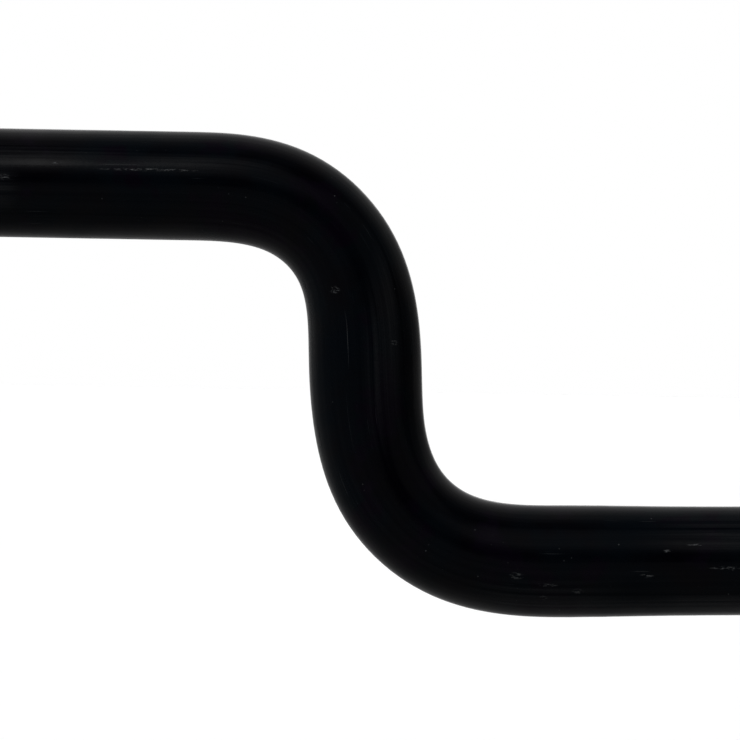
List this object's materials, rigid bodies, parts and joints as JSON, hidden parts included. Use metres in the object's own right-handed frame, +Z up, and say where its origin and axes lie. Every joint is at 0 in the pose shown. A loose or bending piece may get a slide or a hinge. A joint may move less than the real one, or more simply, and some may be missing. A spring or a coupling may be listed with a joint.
{
  "type": "sway bar",
  "caption": "Bent round anti-roll bar with a dropped centre run, held in split bushings under saddle brackets, with lock collars and ball-stud end links.",
  "frame": {"origin": "middle of the plane where the two brackets' feet meet the vehicle frame", "axes": "+X along the bar to the vehicle's right, +Y from the bar along its arms, +Z up"},
  "size_m": [1.0382, 0.3329, 0.1723],
  "materials": {
    "bar_paint": "gloss black paint",
    "bushing_rubber": "moulded matt rubber",
    "bracket_steel": "zinc plated pressed steel",
    "fastener_steel": "bright zinc plate",
    "cap_steel": "zinc plated disc",
    "collar_alloy": "turned satin",
    "link_coating": "satin black coating",
    "seat_plastic": "moulded satin",
    "boot_rubber": "smooth soft rubber"
  },
  "bodies": {
    "mounting": {"bushing_left": "bushing_rubber", "bracket_left": "bracket_steel", "bolt_front_left": "fastener_steel", "bolt_rear_left": "fastener_steel", "bushing_right": "bushing_rubber", "bracket_right": "bracket_steel", "bolt_front_right": "fastener_steel", "bolt_rear_right": "fastener_steel"},
    "bar": {"sway_bar": "bar_paint", "collar_upper_left": "collar_alloy", "collar_lower_left": "collar_alloy", "collar_screw_front_left": "fastener_steel", "collar_screw_rear_left": "fastener_steel", "ball_stud_upper_left": "fastener_steel", "flange_nut_upper_left": "fastener_steel", "collar_upper_right": "collar_alloy", "collar_lower_right": "collar_alloy", "collar_screw_front_right": "fastener_steel", "collar_screw_rear_right": "fastener_steel", "ball_stud_upper_right": "fastener_steel", "flange_nut_upper_right": "fastener_steel"},
    "upper_boot_left": {"dust_boot_upper_left": "boot_rubber", "boot_ring_small_upper_left": "fastener_steel"},
    "link_left": {"end_link_left": "link_coating", "ball_seat_upper_left": "seat_plastic", "ball_seat_lower_left": "seat_plastic", "cover_cap_upper_left": "cap_steel", "cover_cap_lower_left": "cap_steel", "boot_ring_large_upper_left": "fastener_steel", "boot_ring_large_lower_left": "fastener_steel"},
    "lower_boot_left": {"dust_boot_lower_left": "boot_rubber", "boot_ring_small_lower_left": "fastener_steel"},
    "lower_stud_left": {"ball_stud_lower_left": "fastener_steel", "flange_nut_lower_left": "fastener_steel"},
    "upper_boot_right": {"dust_boot_upper_right": "boot_rubber", "boot_ring_small_upper_right": "fastener_steel"},
    "link_right": {"end_link_right": "link_coating", "ball_seat_upper_right": "seat_plastic", "ball_seat_lower_right": "seat_plastic", "cover_cap_upper_right": "cap_steel", "cover_cap_lower_right": "cap_steel", "boot_ring_large_upper_right": "fastener_steel", "boot_ring_large_lower_right": "fastener_steel"},
    "lower_boot_right": {"dust_boot_lower_right": "boot_rubber", "boot_ring_small_lower_right": "fastener_steel"},
    "lower_stud_right": {"ball_stud_lower_right": "fastener_steel", "flange_nut_lower_right": "fastener_steel"}
  },
  "joints": [
    {"name": "bar_roll", "type": "hinge", "parent": "mounting", "child": "bar", "pos_m": [0, 0, -0.024], "axis": [1, 0, 0], "range_deg": [-20, 20]},
    {"name": "upper_spin_left", "type": "hinge", "parent": "bar", "child": "upper_boot_left", "pos_m": [-0.507, 0.262, -0.024], "axis": [1, 0, 0], "range_deg": [-60, 60]},
    {"name": "upper_rock_left", "type": "hinge", "parent": "upper_boot_left", "child": "link_left", "pos_m": [-0.507, 0.262, -0.024], "axis": [0, 1, 0], "range_deg": [-18, 18], "deforming": ["dust_boot_upper_left"]},
    {"name": "lower_rock_left", "type": "hinge", "parent": "link_left", "child": "lower_boot_left", "pos_m": [-0.507, 0.262, -0.134], "axis": [0, 1, 0], "range_deg": [-18, 18], "deforming": ["dust_boot_lower_left"]},
    {"name": "lower_spin_left", "type": "hinge", "parent": "lower_boot_left", "child": "lower_stud_left", "pos_m": [-0.507, 0.262, -0.134], "axis": [1, 0, 0], "continuous": true},
    {"name": "upper_spin_right", "type": "hinge", "parent": "bar", "child": "upper_boot_right", "pos_m": [0.507, 0.262, -0.024], "axis": [1, 0, 0], "range_deg": [-60, 60]},
    {"name": "upper_rock_right", "type": "hinge", "parent": "upper_boot_right", "child": "link_right", "pos_m": [0.507, 0.262, -0.024], "axis": [0, -1, 0], "range_deg": [-18, 18], "deforming": ["dust_boot_upper_right"]},
    {"name": "lower_rock_right", "type": "hinge", "parent": "link_right", "child": "lower_boot_right", "pos_m": [0.507, 0.262, -0.134], "axis": [0, -1, 0], "range_deg": [-18, 18], "deforming": ["dust_boot_lower_right"]},
    {"name": "lower_spin_right", "type": "hinge", "parent": "lower_boot_right", "child": "lower_stud_right", "pos_m": [0.507, 0.262, -0.134], "axis": [1, 0, 0], "continuous": true}
  ]
}
